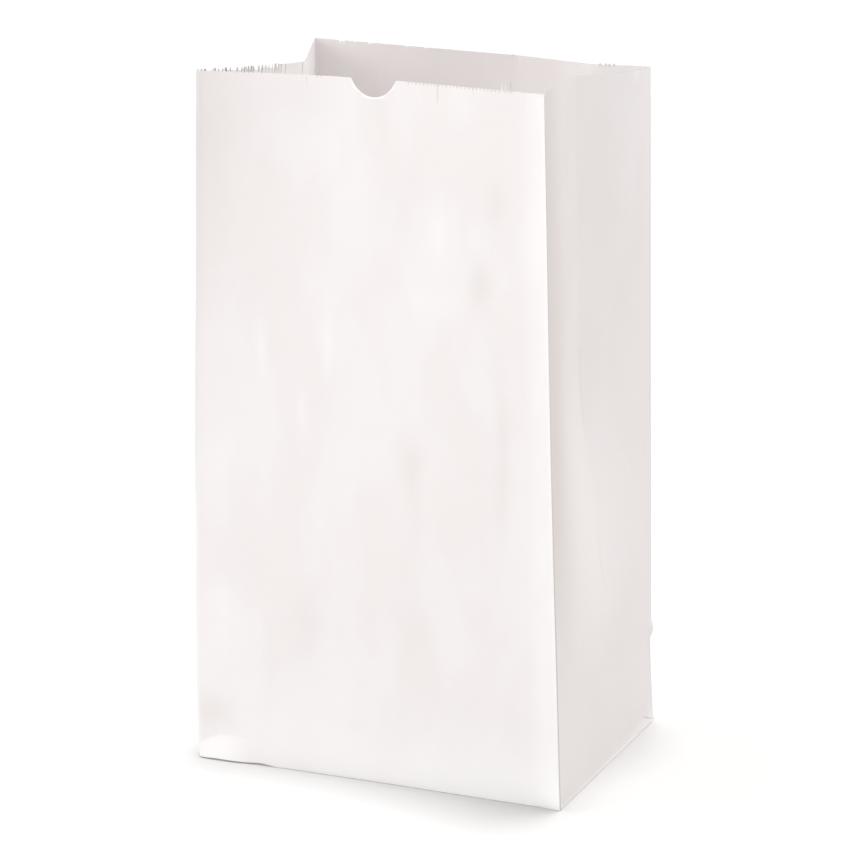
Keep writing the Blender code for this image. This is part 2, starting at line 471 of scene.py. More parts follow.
def vectors(items, name):
    """A vector value of every vertex or face, as an array of rows."""
    flat = np.empty(len(items) * 3)
    items.foreach_get(name, flat)
    return flat.reshape(-1, 3)


def coordinates(mesh):
    return vectors(mesh.vertices, "co")


def set_coordinates(mesh, points):
    mesh.vertices.foreach_set("co", np.ascontiguousarray(points, dtype=float).ravel())
    mesh.update()


def add_attribute(piece, name, values, domain="POINT"):
    layer = piece.data.attributes.new(name, "FLOAT", domain)
    layer.data.foreach_set("value", np.asarray(values, dtype=np.float32))


def edge_ends(mesh):
    """The start and the end of every edge, as two arrays of points."""
    pairs = np.empty(len(mesh.edges) * 2, dtype=int)
    mesh.edges.foreach_get("vertices", pairs)
    points = coordinates(mesh)
    return points[pairs[0::2]], points[pairs[1::2]]


def select_edges(piece, chosen):
    """Enters edit mode with just those edges selected."""
    bpy.context.tool_settings.mesh_select_mode = (False, True, False)
    bpy.ops.object.mode_set(mode="EDIT")
    bpy.ops.mesh.select_all(action="DESELECT")
    bpy.ops.object.mode_set(mode="OBJECT")
    piece.data.edges.foreach_set("select", chosen)
    bpy.ops.object.mode_set(mode="EDIT")


def apply_modifier(piece, kind, **settings):
    """Adds a modifier to a piece and applies it."""
    only(piece)
    modifier = piece.modifiers.new(kind.lower(), kind)
    for name, value in settings.items():
        setattr(modifier, name, value)
    bpy.ops.object.modifier_apply(modifier=modifier.name)


def start_grid(name, columns, rows, width, depth):
    """A flat grid around the origin, left in edit mode with all of it selected."""
    deselect_all()
    bpy.ops.mesh.primitive_grid_add(
        x_subdivisions=columns, y_subdivisions=rows, size=1.0, location=(0, 0, 0)
    )
    piece = bpy.context.object
    piece.name = name
    piece.data.name = name
    bpy.ops.object.mode_set(mode="EDIT")
    bpy.ops.mesh.select_all(action="SELECT")
    bpy.ops.transform.resize(value=(width, depth, 1.0))
    return piece


def finish_piece(piece, scene, smooth_angle):
    """Shades a piece, gives it its paper and hands it to the frame."""
    only(piece)
    bpy.ops.object.shade_smooth_by_angle(angle=math.radians(smooth_angle))
    piece.data.materials.clear()
    piece.data.materials.append(paper_material(scene.paper_bag_finish))
    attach(piece, BODY)


# The settled form


class Form:
    """Places points of the straight box on the settled bag."""

    panels = {
        "front": (FRONT_LEFT, FRONT_RIGHT),
        "right": (FRONT_RIGHT, BACK_RIGHT),
        "back": (BACK_RIGHT, BACK_LEFT),
        "left": (BACK_LEFT, FRONT_LEFT),
    }

    def __init__(self, size):
        self.width = size.width
        self.depth = size.depth
        self.height = size.height
        self.fold_line = size.depth / 2

    def length(self, panel):
        return self.width if panel in ("front", "back") else self.depth

    def distances(self, nearest, share):
        """How far points are from the start and from the end of their panels."""
        length = np.where(nearest % 2 == 0, self.width, self.depth)
        return share * length, (1 - share) * length

    def corner(self, corner, z):
        rise = z / self.height
        x = corner.side_x * self.width / 2 + corner.lean_x * rise
        y = corner.side_y * self.depth / 2 + corner.lean_y * rise
        x = x + np.interp(z / MM, *zip(*SWAYS[corner])) * MM
        return np.stack((x, y), axis=-1)

    def front_push(self, t, z):
        rise = z / self.height
        buckle = BUCKLE_LOW + (BUCKLE_HIGH - BUCKLE_LOW) * smooth(t * 2)
        low = FRONT_BASE_BOW * np.clip(1 - z / buckle, 0, 1)
        push = np.sin(np.pi * t**FRONT_BOW_SKEW) * (low + FRONT_BOW * rise**FRONT_BOW_POWER)
        away = (1 - t) * self.width
        strip = np.minimum(away / EDGE_STRIP, 1)
        strip *= np.exp(-np.clip(away - EDGE_STRIP, 0, None) / EDGE_STRIP_FADE)
        push += EDGE_STRIP_PUSH * strip * np.clip(t / EDGE_STRIP_END, 0, 1)
        return push - self.pressed_corner(t * self.width, z)

    def pressed_corner(self, across, z):
        """The foot of the left edge is pressed out below a short curved crease."""
        below = np.clip(pressed_crease(across) - z, 0, None)
        fade = smooth(across / PRESSED_START) * (1 - smooth((across - PRESSED_AT) / PRESSED_WIDTH))
        return PRESSED_SLOPE * below * fade

    def back_push(self, t, z):
        rise = z / self.height
        end = BACK_BEND_END + (1 - rise) * BEND_SLANT
        share = np.where(
            t < BACK_BEND_PEAK,
            smooth(t / BACK_BEND_PEAK),
            np.clip((end - t) / (end - BACK_BEND_PEAK), 0, 1),
        )
        fold_up = FOLD_UP_CREASE * np.clip(1 - np.abs(z - self.fold_line) / FOLD_UP_WIDTH, 0, 1)
        ends = smooth(t / FOLD_UP_ENDS) * smooth((1 - t) / FOLD_UP_ENDS)
        return BACK_BEND * share * rise**BACK_BEND_POWER - fold_up * ends

    def corner_creases(self, t, z):
        """The two slanting creases of a gusset, from the foot of its edges to its centre fold."""
        across = np.minimum(t, 1 - t) * self.depth
        away = np.abs(across - z) / math.sqrt(2)
        share = np.clip(1 - away / CORNER_CREASE_WIDTH, 0, 1)
        return CORNER_CREASE * share * (z < self.fold_line) * smooth(across / CORNER_CREASE_START)

    def roll(self, t, z):
        """The wave of a gusset that shows near the mouth: one half in, and the other half out."""
        return np.sin(math.tau * t) * (z / self.height) ** MOUTH_POWER

    def right_push(self, t, z):
        opened = smooth((z - self.fold_line) / (RIGHT_GUSSET_FULL - self.fold_line))
        wave = np.where(t < 0.5, RIGHT_FRONT_ROLL, RIGHT_BACK_ROLL) * self.roll(t, z)
        return RIGHT_GUSSET * opened * crease(t) + wave - self.corner_creases(t, z)

    def left_opened(self, z):
        return smooth((z - self.fold_line) / (self.height - self.fold_line))

    def left_push(self, t, z):
        wave = np.where(t > 0.5, LEFT_FRONT_ROLL, 0.0) * self.roll(t, z)
        return LEFT_GUSSET * self.left_opened(z) * crease(t) - wave - self.corner_creases(t, z)

    def dents(self, panel, t, z):
        across = t * self.length(panel)
        total = np.zeros_like(t)
        for dent in DENTS:
            if dent.panel == panel:
                away = across - dent.across
                flank = np.where(away < 0, dent.steep, dent.flat)
                above = (z - dent.up) / dent.half_height
                total += dent.depth * np.exp(-((away / flank) ** 2) - above**2)
        return total

    def cockle(self, panel, t, z):
        across = t * self.length(panel)
        seed = PANEL_SEED[panel]
        slow = [noise.noise((a / COCKLE_WIDTH, b / COCKLE_HEIGHT, seed)) for a, b in zip(across, z)]
        quick = [noise.noise((a / RIPPLE_WIDTH, b / RIPPLE_HEIGHT, -seed)) for a, b in zip(across, z)]
        loose = np.sin(np.pi * t) ** 0.5 * smooth(z / STILL_FOOT + STILL_SHARE)
        return (COCKLE * np.array(slow) + RIPPLE * np.array(quick)) * loose

    def push(self, panel, t, z):
        """How far a panel stands inside the plane between its corners."""
        t = np.clip(t, 0, 1)
        z = np.clip(z, 0, self.height)
        main = {
            "front": self.front_push,
            "right": self.right_push,
            "back": self.back_push,
            "left": self.left_push,
        }[panel](t, z)
        return main + self.dents(panel, t, z) + self.cockle(panel, t, z)

    def wall(self, panel, t, z, inward=0.0):
        """Points of a panel: t runs along it from 0 to 1, counter-clockwise seen from above."""
        t = np.asarray(t, dtype=float)
        z = np.asarray(z, dtype=float)
        first, last = self.panels[panel]
        start = self.corner(first, z)
        along = self.corner(last, z) - start
        side = np.stack((-along[:, 1], along[:, 0]), axis=-1)
        side /= np.linalg.norm(side, axis=1)[:, None]
        lift = (first.lift + (last.lift - first.lift) * t) * z / self.height
        slid = t
        if panel == "front":
            step = np.interp(t * self.width / MM, *zip(*FOOT_STEP)) * MM
            lift = lift + step * np.clip(1 - z / FOOT_STEP_FADE, 0, 1)
        if panel == "right":
            bulge = np.sin(np.pi * np.clip(t, 0, 1) ** RIGHT_RISE_SKEW)
            lift = lift + RIGHT_RISE * bulge * (z / self.height) ** MOUTH_POWER
        if panel == "left":
            folded = self.left_opened(z) * crease(t)
            slid = t + LEFT_SLIDE * folded
            lift = lift - LEFT_DIP * folded
        plan = start + along * slid[:, None] + side * (self.push(panel, t, z) + inward)[:, None]
        if panel in ("right", "back"):
            away = (1 - t) * self.depth if panel == "right" else t * self.width
            plan[:, 0] += np.interp(z / MM, *zip(*EAR)) * MM * np.exp(-((away / EAR_REACH) ** 2))
        return np.column_stack((plan, z + lift))

    def floor(self, x, y, z):
        """Points of the bottom: the bows of its four edges fade towards each other."""
        u = x / self.width + 0.5
        v = y / self.depth + 0.5
        foot = np.zeros_like(u)
        front = self.push("front", u, foot) * (1 - v)
        back = self.push("back", 1 - u, foot) * v
        left = self.push("left", 1 - v, foot) * (1 - u)
        right = self.push("right", v, foot) * u
        return np.column_stack((x + left - right, y + front - back, z))

    def sides(self, points):
        """For each point of the box: the nearest panel, its share along it, and its depth."""
        x, y = points[:, 0], points[:, 1]
        u, v = x / self.width, y / self.depth
        depth = np.stack(
            (y + self.depth / 2, self.width / 2 - x, self.depth / 2 - y, x + self.width / 2)
        )
        share = np.stack((u + 0.5, v + 0.5, 0.5 - u, 0.5 - v))
        nearest = np.argmin(depth, axis=0)
        pick = np.arange(len(points))
        return nearest, share[nearest, pick], depth[nearest, pick]


PANEL_NAMES = tuple(Form.panels)
FRONT, RIGHT, BACK, LEFT = range(4)


def pressed_crease(across):
    """Height of the short curved crease at the foot of the front's left edge."""
    return PRESSED_HEIGHT * np.exp(-((np.clip(PRESSED_AT - across, 0, None) / PRESSED_WIDTH) ** 2))


def bent_rows(form, nearest, share, z):
    """Bends the rows at the foot, so that one of them runs along each of the two short creases."""
    near, far = form.distances(nearest, share)
    across = np.select((nearest == FRONT, nearest == LEFT), (near, PRESSED_SIDE * far), PRESSED_AT)
    above = 1 - smooth((z - PRESSED_HEIGHT) / PRESSED_FADE)
    part = np.where(z < PRESSED_HEIGHT, z / PRESSED_HEIGHT, above)
    heights = z + (pressed_crease(across) - PRESSED_HEIGHT) * part
    places = (0, FOOT_LINE_LENGTH, FOOT_LINE_END)
    on_right = np.interp(far, places, (-FOOT_LINE_FALL, FOOT_LINE_RISE, 0))
    on_back = np.interp(near, (0, FOOT_LINE_TURN), (-FOOT_LINE_FALL, 0))
    slant = np.select((nearest == RIGHT, nearest == BACK), (on_right, on_back), 0)
    row = FOOT_LINE[1]
    return heights + slant * np.where(z < row, z / row, 1 - smooth((z - row) / FOOT_LINE_FADE))


# The paper

# Noise: its stretch along the height, its scale and its detail, and the values that are used
PATCH_NOISE = (0.45, 27.0, 4.0)
PATCH_RANGE = (0.44, 0.58)
FIBRE_NOISE = (0.22, 1500.0, 4.0)
FIBRE_RANGE = (0.3, 0.7)
FIBRE_RELIEF = 0.1 * MM
ROUGHNESS_SPREAD = 0.05
NOTCH_HIGHLIGHT_RANGE = (0.45, 0.9)
PAPER_SPECULAR = 0.25


class Nodes:
    """Adds and links the nodes of one material."""

    def __init__(self, material):
        material.use_nodes = True
        self.tree = material.node_tree
        self.shader = self.tree.nodes["Principled BSDF"]

    def add(self, kind, **settings):
        node = self.tree.nodes.new(kind)
        for name, value in settings.items():
            setattr(node, name, value)
        return node

    def link(self, source, target):
        self.tree.links.new(source, target)


def noise_layer(nodes, stretch, scale, detail):
    """Noise on Object coordinates, stretched along the height of the bag."""
    place = nodes.add("ShaderNodeTexCoord")
    mapping = nodes.add("ShaderNodeMapping")
    mapping.inputs["Scale"].default_value = (1.0, 1.0, stretch)
    layer = nodes.add("ShaderNodeTexNoise")
    layer.inputs["Scale"].default_value = scale
    layer.inputs["Detail"].default_value = detail
    nodes.link(place.outputs["Object"], mapping.inputs["Vector"])
    nodes.link(mapping.outputs["Vector"], layer.inputs["Vector"])
    return layer.outputs["Fac"]


def mix_colours(nodes, factor, first, second):
    """Mixes two colours, each a value or an output."""
    mix = nodes.add("ShaderNodeMix", data_type="RGBA")
    nodes.link(factor, mix.inputs["Factor"])
    for socket, value in ((mix.inputs["A"], first), (mix.inputs["B"], second)):
        if isinstance(value, bpy.types.NodeSocket):
            nodes.link(value, socket)
        else:
            socket.default_value = (*value, 1.0)
    return mix.outputs["Result"]


def contrast(nodes, value, low, high, to_low=0.0, to_high=1.0):
    ramp = nodes.add("ShaderNodeMapRange")
    ramp.inputs["From Min"].default_value = low
    ramp.inputs["From Max"].default_value = high
    ramp.inputs["To Min"].default_value = to_low
    ramp.inputs["To Max"].default_value = to_high
    nodes.link(value, ramp.inputs["Value"])
    return ramp.outputs["Result"]


def attribute(nodes, name):
    return nodes.add("ShaderNodeAttribute", attribute_name=name).outputs["Fac"]


def paper_material(finish):
    """Bleached kraft paper: faint patches, long fibres, painted shade in creases and painted highlights
    along folds.
    """
    material = bpy.data.materials.get("white_kraft_paper")
    if material:
        return material
    material = bpy.data.materials.new("white_kraft_paper")
    nodes = Nodes(material)
    patches = contrast(nodes, noise_layer(nodes, *PATCH_NOISE), *PATCH_RANGE)
    colour = mix_colours(nodes, patches, finish.paper, finish.warm)
    # Painted shade and painted highlights, mixed over the paper one after another
    for name, layer in (
        ("painted_shade_tone", finish.shade_colour),
        ("painted_highlight", finish.highlight_colour),
        ("notch_line", finish.highlight_colour),
        ("painted_crease_shade", finish.crease),
        ("cut_edge_shade", finish.cut),
    ):
        factor = attribute(nodes, name)
        if name == "notch_line":
            factor = contrast(nodes, factor, *NOTCH_HIGHLIGHT_RANGE)
        colour = mix_colours(nodes, factor, colour, layer)
    nodes.link(colour, nodes.shader.inputs["Base Color"])
    fibres = noise_layer(nodes, *FIBRE_NOISE)
    rough = (finish.roughness - ROUGHNESS_SPREAD, finish.roughness + ROUGHNESS_SPREAD)
    nodes.link(contrast(nodes, fibres, *FIBRE_RANGE, *rough), nodes.shader.inputs["Roughness"])
    bump = nodes.add("ShaderNodeBump")
    bump.inputs["Strength"].default_value = finish.fibre
    bump.inputs["Distance"].default_value = FIBRE_RELIEF
    nodes.link(fibres, bump.inputs["Height"])
    nodes.link(bump.outputs["Normal"], nodes.shader.inputs["Normal"])
    nodes.shader.inputs["Specular IOR Level"].default_value = PAPER_SPECULAR
    return material


# The folded sheet


def box_blank(size):
    """The sheet as a straight open box: a bottom of square cells, and walls of rows of them."""
    columns = even(size.width / size.cell)
    gusset_columns = even(size.depth / size.cell)
    sheet = start_grid("folded_sheet", columns, gusset_columns, size.width, size.depth)
    bpy.ops.mesh.region_to_loop()
    bpy.ops.mesh.extrude_region_move(TRANSFORM_OT_translate={"value": (0, 0, size.height)})
    bpy.ops.object.mode_set(mode="OBJECT")
    round_folds(sheet, size)
    cut_rows(sheet, size)
    cut_strip(sheet, size)
    bpy.ops.mesh.select_all(action="SELECT")
    bpy.ops.mesh.normals_make_consistent(inside=False)
    bpy.ops.object.mode_set(mode="OBJECT")
    return sheet


def round_folds(sheet, size):
    """Bevels the four upright folds and the four folds of the bottom."""
    start, end = edge_ends(sheet.data)
    middle = (start + end) / 2
    at_side = np.isclose(np.abs(middle[:, 0]), size.width / 2, atol=SAME)
    at_front = np.isclose(np.abs(middle[:, 1]), size.depth / 2, atol=SAME)
    upright = np.abs(start[:, 2] - end[:, 2]) > size.height / 2
    foot = (start[:, 2] + end[:, 2]) < MM
    select_edges(sheet, (upright & at_side & at_front) | (foot & (at_side | at_front)))
    bpy.ops.mesh.bevel(offset=size.fold_radius, segments=2, affect="EDGES")
    bpy.ops.object.mode_set(mode="OBJECT")


def cut_rows(sheet, size):
    """Cuts the walls into rows, with close cuts at the foot for the short creases there."""
    start, end = edge_ends(sheet.data)
    select_edges(sheet, np.abs(start[:, 2] - end[:, 2]) > size.height / 2)
    bpy.ops.mesh.subdivide(number_cuts=round(size.height / size.row) - 1)
    for level in (*FOOT_LINE, PRESSED_HEIGHT, PRESSED_HEIGHT + PRESSED_STEP):
        bpy.ops.mesh.select_all(action="SELECT")
        bpy.ops.mesh.bisect(plane_co=(0, 0, level), plane_no=(0, 0, 1))
    bpy.ops.object.mode_set(mode="OBJECT")


def strip_foot(size):
    """Height where the toothed strip starts, between two rows of points."""
    return size.height - (STRIP_ROWS + 0.5) * size.row


def cut_strip(sheet, size):
    """Cuts the top rows finer, for the teeth and the short creases under them."""
    start, end = edge_ends(sheet.data)
    level = np.abs(start[:, 2] - end[:, 2]) < 0.1 * MM
    long = np.linalg.norm(start - end, axis=1) > size.cell / 2
    select_edges(sheet, level & long & (start[:, 2] > strip_foot(size)))
    bpy.ops.mesh.subdivide(number_cuts=TOOTH_CUTS)


def noise_row(numbers, seed):
    return np.array([noise.noise((NOISE_STEP * float(n), seed, NOISE_LEVEL)) for n in numbers])


def tooth_noise(name, numbers):
    pace, seed = TOOTH_NOISE[name]
    return noise_row(pace * numbers, seed)


class Strip:
    """Points of one panel, numbered by their places among the finer cuts of its toothed strip."""

    def __init__(self, form, size, panel, share):
        self.panel = panel
        self.share = share
        self.count = even(form.length(panel) / size.cell) * PARTS
        self.place = np.round(share * self.count).astype(int)
        self.tooth = np.round(self.place / PARTS).astype(int)
        self.lean = tooth_noise("lean", self.tooth)
        self.broad = tooth_noise("broad", np.floor(self.place / PARTS)) > BROAD_FROM
        valley = self.tooth * PARTS
        if panel in RAGGED:
            valley = valley + np.clip(np.round(VALLEY_SHIFT * self.lean), -1, 1).astype(int)
        self.from_valley = np.abs(self.place - valley)

    def own(self, records):
        """The records of a table that belong to this panel."""
        return [record for record in records if record.panel == self.panel]

    def from_cut(self, share):
        """How many cuts each point is away from the cut at a share of the panel."""
        return np.abs(self.place - round(share * self.count))

    def inside(self, record):
        return (self.share > record.start) & (self.share < record.end)

    def ramp(self, record):
        """The value of a record at each point, from its first at the start to its last at the end."""
        along = (self.share - record.start) / (record.end - record.start)
        return record.first + (record.last - record.first) * np.clip(along, 0, 1)


def rim_profile(form, size, nearest, share):
    """How far each point of the rim drops under the mean line, or stands above it."""
    drop = np.zeros(len(share))
    for index, panel in enumerate(PANEL_NAMES):
        here = nearest == index
        strip = Strip(form, size, panel, share[here])
        depth = np.full(len(strip.share), FLAT_TEETH)
        for teeth in strip.own(TEETH):
            depth = np.where(strip.inside(teeth), strip.ramp(teeth), depth)
        valley = (strip.from_valley == 0) & (strip.place > 0) & (strip.place < strip.count)
        tip = TIP_DROP * depth
        if panel in RAGGED:
            depth = depth * np.clip(1.0 + 1.4 * tooth_noise("depth", strip.tooth), 0.4, 1.2)
            valley |= (strip.from_valley == 1) & ~strip.broad
            tip = np.where(depth > RAGGED_FROM, RAGGED_TIP, TIP_DROP * depth)
        uneven = noise_row(strip.place, CUT_SEED * index)
        cut = np.minimum(depth * size.tooth * (1 + 0.5 * uneven), 1.5 * size.row)
        fall = np.where(valley, cut, tip * (1 + uneven))
        for sliver in strip.own(SLIVERS):
            fall[strip.from_cut(sliver.at) == 0] = -sliver.rise
        drop[here] = fall
    return drop


def crimp_marks(form, size, nearest, share, z):
    """How dark the painted shade is under the rim: on crimps and slits, and beside teeth and slivers."""
    marks = np.zeros(len(share))
    for index, panel in enumerate(PANEL_NAMES):
        here = np.nonzero((nearest == index) & (z > strip_foot(size)))[0]
        strip = Strip(form, size, panel, share[here])
        under = size.height - z[here]
        row = np.round(under / size.row).astype(int)
        reach = np.zeros(len(under))
        dark = np.ones(len(under))
        for crimps in strip.own(CRIMPS):
            lean = np.round(CRIMP_LEAN * strip.lean).astype(int) * np.minimum(row, 1)
            chosen = strip.inside(crimps) & (strip.place == strip.tooth * PARTS + lean)
            uneven = 0.8 + 0.7 * tooth_noise("length", strip.tooth)
            reach[chosen] = (strip.ramp(crimps) * uneven)[chosen]
        for slit in strip.own(SLITS):
            chosen = strip.from_cut(slit.at) == 0
            reach[chosen] = slit.length
            dark[chosen] = slit.mark
        mark = np.where(reach > 0, dark * np.clip((reach - under) / size.row + 0.5, 0, 1), 0)
        side = (strip.from_valley == 0) & (row == 0)
        if panel in RAGGED:
            side = (strip.from_valley == np.where(strip.broad, 1, 2)) & (row <= 1)
        shade = np.clip(0.95 + 1.2 * tooth_noise("shade", strip.tooth), 0.5, 1.0)
        for teeth in strip.own(TEETH):
            mark = np.where(strip.inside(teeth) & side, teeth.mark * shade, mark)
        for sliver in strip.own(SLIVERS):
            beside = 0 if sliver.rise < MM else 1
            mark[(strip.from_cut(sliver.at) == beside) & (row <= 0)] = sliver.mark
        marks[here] = mark
    return marks


def painted_fold_shade(form, nearest, share, z):
    """Painted shade: faint dark lines beside the upright folds and on the gusset creases, and a painted
    shadow at one foot.
    """
    near, far = form.distances(nearest, share)
    marks = np.zeros(len(share))
    marks[(nearest == RIGHT) & (near < BESIDE_FOLD)] = NEAR_FOLD_MARK
    marks[(nearest == RIGHT) & (far < BESIDE_FOLD)] = FAR_FOLD_MARK
    left = (nearest == FRONT) & (near < BESIDE_FOLD)
    marks[left] = LEFT_FOLD_MARK * smooth((z[left] - LEFT_FOLD_LOW) / LEFT_FOLD_FADE)
    centre = (nearest % 2 == 1) & (np.abs(share - 0.5) < ON_CREASE)
    for low, high in GUSSET_LINES:
        marks[centre & (z > low) & (z < high)] = GUSSET_MARK
    # A painted shadow along the short crease at the back right foot
    foot = (nearest == RIGHT) & (far < FOOT_LINE_LENGTH)
    marks[foot & (np.abs(z - FOOT_LINE[1]) < SAME)] = 1.0
    return marks


def painted_highlight(form, nearest, share, z):
    """1 where a highlight is painted brightest: along the folds, and on the bend of the back panel."""
    near, far = form.distances(nearest, share)
    highlight = np.exp(-((np.minimum(np.minimum(near, far), z) / HIGHLIGHT_WIDTH) ** 2))
    # A painted highlight along the bend of the back panel, just under the rim
    bend = BACK_BEND_END + (1 - z / form.height) * BEND_SLANT
    on_bend = np.abs(share - bend) * form.width < BEND_HIGHLIGHT_WIDTH
    highlight[(nearest == BACK) & on_bend & (z > form.height - BEND_HIGHLIGHT_HEIGHT)] = BEND_HIGHLIGHT
    return highlight


def painted_shade_tone(form, nearest, share, z):
    """The tone of the soft patches: above zero where shade is painted, below zero where a highlight is
    painted.
    """
    across = form.distances(nearest, share)[0]
    tone = np.zeros(len(share))
    for patch in PAINTED_LIGHT_PATCHES:
        away = (across - patch.across) / patch.half_width
        above = (z - patch.up) / patch.half_height
        here = nearest == PANEL_NAMES.index(patch.panel)
        tone += np.where(here, patch.tone * np.exp(-(away**2) - above**2), 0)
    # A painted highlight on the pressed corner
    pressed = (nearest == FRONT) & (z < PRESSED_HEIGHT + SAME)
    fade = 1 - smooth((across - PRESSED_HIGHLIGHT_START) / PRESSED_HIGHLIGHT_FADE)
    return np.clip(tone - PRESSED_HIGHLIGHT * pressed * fade, -2, 1)


def settle(sheet, form, size):
    """Moves every point of the straight box to its place on the bag, and marks the painted shade and
    painted highlights of its creases, folds and patches.
    """
    box = coordinates(sheet.data)
    nearest, share, depth = form.sides(box)
    z = box[:, 2]
    on_floor = (z < SAME) & (depth > 1.01 * size.fold_radius)
    placed = np.empty_like(box)
    raised = BOTTOM_ROOM * smooth(depth / BOTTOM_EDGE)
    placed[on_floor] = form.floor(box[on_floor, 0], box[on_floor, 1], raised[on_floor])
    crimps = crimp_marks(form, size, nearest, share, z)
    heights = bent_rows(form, nearest, share, z)
    rim = z > size.height - SAME
    heights[rim] -= rim_profile(form, size, nearest[rim], share[rim])
    below = np.abs(size.height - size.row - z) < SAME
    room = rim_profile(form, size, nearest[below], share[below]) + FIRST_ROW_ROOM
    heights[below] = size.height - np.maximum(room, FIRST_ROW)
    for index, panel in enumerate(PANEL_NAMES):
        here = (nearest == index) & ~on_floor
        inward = depth[here] + CRIMP_PUSH * crimps[here]
        placed[here] = form.wall(panel, share[here], heights[here], inward)
    placed[:, 2] = np.maximum(placed[:, 2], 0.0)
    set_coordinates(sheet.data, placed)
    # Painted shade in the creases, painted highlights along the folds, and the painted shade and
    # highlight of the soft patches
    creases = np.maximum(crimps, painted_fold_shade(form, nearest, share, z)) * ~on_floor
    tone = painted_shade_tone(form, nearest, share, z) * ~on_floor
    highlight = painted_highlight(form, nearest, share, z) * ~on_floor
    add_attribute(sheet, "painted_crease_shade", creases)
    add_attribute(sheet, "painted_highlight", np.maximum(highlight, np.clip(-tone, 0, 2)) / 2)
    add_attribute(sheet, "painted_shade_tone", np.clip(tone, 0, 1))


def paint_cut_edge_shade(sheet, form, size):
    """Marks painted shade on the narrow faces of the cut rim, greyer than the sheet on three sides."""
    centre = vectors(sheet.data.polygons, "center")
    normal = vectors(sheet.data.polygons, "normal")
    top = (np.abs(normal[:, 2]) > CUT_LEVEL) & (centre[:, 2] > size.height - CUT_BAND)
    front_end = form.corner(FRONT_LEFT, size.height)[1] + CUT_FRONT_REACH
    share = np.where(centre[:, 1] < front_end, FRONT_CUT, 1.0)
    from_right, before_base = CUT_RIGHT
    right = centre[:, 0] > size.width / 2 - from_right
    share[right & (centre[:, 1] > -size.depth / 2 - before_base)] = 1.0
    add_attribute(sheet, "cut_edge_shade", top * share, "FACE")


def cut_notch(sheet, form, size):
    """Takes the round thumb cut out of the front panel."""
    middle = np.array([NOTCH_AT / size.width])
    rim = np.array([size.height])
    foot = form.wall("front", middle, rim)[0]
    across = form.wall("front", middle + 0.02, rim)[0] - foot
    turn = math.atan2(across[1], across[0])
    centre = (foot[0], foot[1], foot[2] + size.notch_radius - size.notch_depth)
    deselect_all()
    bpy.ops.mesh.primitive_cylinder_add(
        vertices=NOTCH_SIDES,
        radius=size.notch_radius,
        depth=NOTCH_CUTTER,
        location=centre,
        rotation=(math.pi / 2, 0, turn),
    )
    cutter = bpy.context.object
    apply_modifier(sheet, "BOOLEAN", operation="DIFFERENCE", object=cutter, solver="EXACT")
    bpy.data.objects.remove(cutter, do_unlink=True)
    paint_notch_highlight(sheet, np.array(centre), turn, size)


def paint_notch_highlight(sheet, centre, turn, size):
    """Marks a thin painted highlight along the thumb cut."""
    away = coordinates(sheet.data) - centre
    across = away[:, 0] * math.cos(turn) + away[:, 1] * math.sin(turn)
    off_plane = away[:, 1] * math.cos(turn) - away[:, 0] * math.sin(turn)
    on_cut = np.abs(np.hypot(across, away[:, 2]) - size.notch_radius) < ON_NOTCH
    add_attribute(sheet, "notch_line", on_cut & (np.abs(off_plane) < NOTCH_REACH))


SHEET_SMOOTH_ANGLE = 22
LAYER_SMOOTH_ANGLE = 40


class PAPERBAG_OT_folded_sheet(bpy.types.Operator):
    """Builds the folded sheet: the bottom, the four walls and the cut rim."""

    bl_idname = "paperbag.folded_sheet"
    bl_label = "Folded Sheet"

    def execute(self, context):
        size = context.scene.paper_bag_size
        form = Form(size)
        sheet = box_blank(size)
        settle(sheet, form, size)
        apply_modifier(
            sheet, "SOLIDIFY", thickness=size.sheet, offset=-1.0, use_quality_normals=True
        )
        paint_cut_edge_shade(sheet, form, size)
        cut_notch(sheet, form, size)
        finish_piece(sheet, context.scene, SHEET_SMOOTH_ANGLE)
        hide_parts(CAD_NODE)
        return {"FINISHED"}


# The glued layers: side tucks and flaps under the bottom, and the lap of the long seam


def grid_piece(name, columns, rows, low, high):
    """A flat grid between two corners, left in edit mode with all of it selected."""
    piece = start_grid(name, columns, rows, high[0] - low[0], high[1] - low[1])
    bpy.ops.transform.translate(value=((low[0] + high[0]) / 2, (low[1] + high[1]) / 2, 0))
    return piece


def cut_leg(place, outward):
    """Cuts the sheet along a slanting leg and takes away what lies outside."""
    bpy.ops.mesh.select_all(action="SELECT")
    bpy.ops.mesh.bisect(plane_co=(*place, 0), plane_no=(*outward, 0), clear_outer=True)


def zigzag(points, size, edge_y):
    """Cuts small teeth into the free edge of a flap."""
    on_edge = np.abs(points[:, 1] - edge_y) < SAME
    step = np.round(points[:, 0] / (size.cell / 2)).astype(int)
    points[on_edge & (step % 2 == 0), 1] -= math.copysign(size.tooth, edge_y)
    return points


def lay_under(piece, form, level, shape_points=None):
    """Lays a flat layer under the bottom and gives it its thickness."""
    bpy.ops.mesh.select_all(action="SELECT")
    bpy.ops.mesh.normals_make_consistent(inside=False)
    bpy.ops.object.mode_set(mode="OBJECT")
    points = coordinates(piece.data)
    depth = form.sides(points)[2]
    if shape_points:
        points = shape_points(points)
    rise = level * smooth(depth / BOTTOM_EDGE)
    set_coordinates(piece.data, form.floor(points[:, 0], points[:, 1], rise))
    apply_modifier(piece, "SOLIDIFY", thickness=FLAP_SHEET, offset=1.0)
    points = coordinates(piece.data)
    points[:, 2] += rise.min() - points[:, 2].min()
    set_coordinates(piece.data, points)


